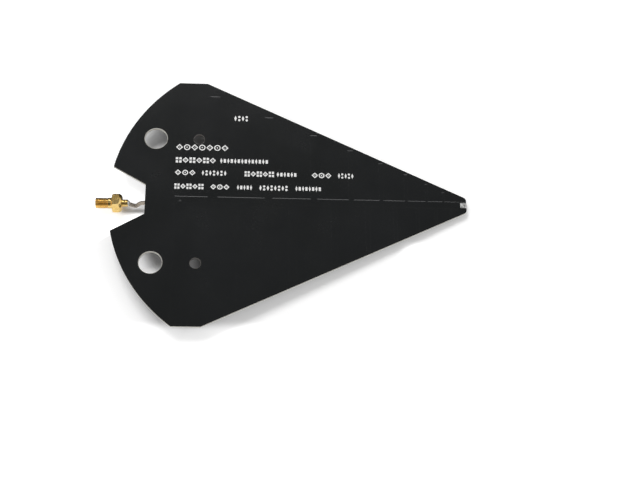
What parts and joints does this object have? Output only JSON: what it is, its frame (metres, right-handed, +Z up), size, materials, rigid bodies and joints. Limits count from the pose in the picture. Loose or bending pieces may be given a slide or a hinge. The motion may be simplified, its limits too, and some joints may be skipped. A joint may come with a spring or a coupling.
{
  "type": "log periodic antenna",
  "caption": "Fan-shaped printed log periodic antenna: black two-sided circuit board with etched dipole arms, thin coax under the boom and a gold threaded coaxial jack in the rear notch.",
  "frame": {"origin": "midway between the two small mounting holes, on the underside of the board", "axes": "+X along the boom towards the tip, +Y across the board, +Z up out of the upper face"},
  "size_m": [0.2144, 0.153, 0.0126],
  "materials": {
    "board": "black solder mask over glass fibre laminate, satin",
    "masked_copper": "copper under black solder mask, satin; the link at the rear of the boom is covered too",
    "solder": "bright solder, slightly dulled",
    "tinned_shield": "tin-soaked fine copper braid",
    "white_dielectric": "milky white fluoropolymer",
    "silver_wire": "silvered solid wire",
    "gold_plate": "gold-plated turned brass",
    "gold_contact": "gold-plated spring contact"
  },
  "bodies": {
    "root": {"circuit_board": "board", "top_copper": "masked_copper", "bottom_copper": "masked_copper", "boom_short_link": "masked_copper", "coax_shield": "tinned_shield", "coax_dielectric": "white_dielectric", "coax_centre_wire": "silver_wire", "tip_solder_joint": "solder", "boom_solder_joints": "solder", "jack_body": "gold_plate", "jack_insulator": "white_dielectric", "jack_contact": "gold_contact", "jack_solder_joint": "solder"}
  },
  "joints": []
}
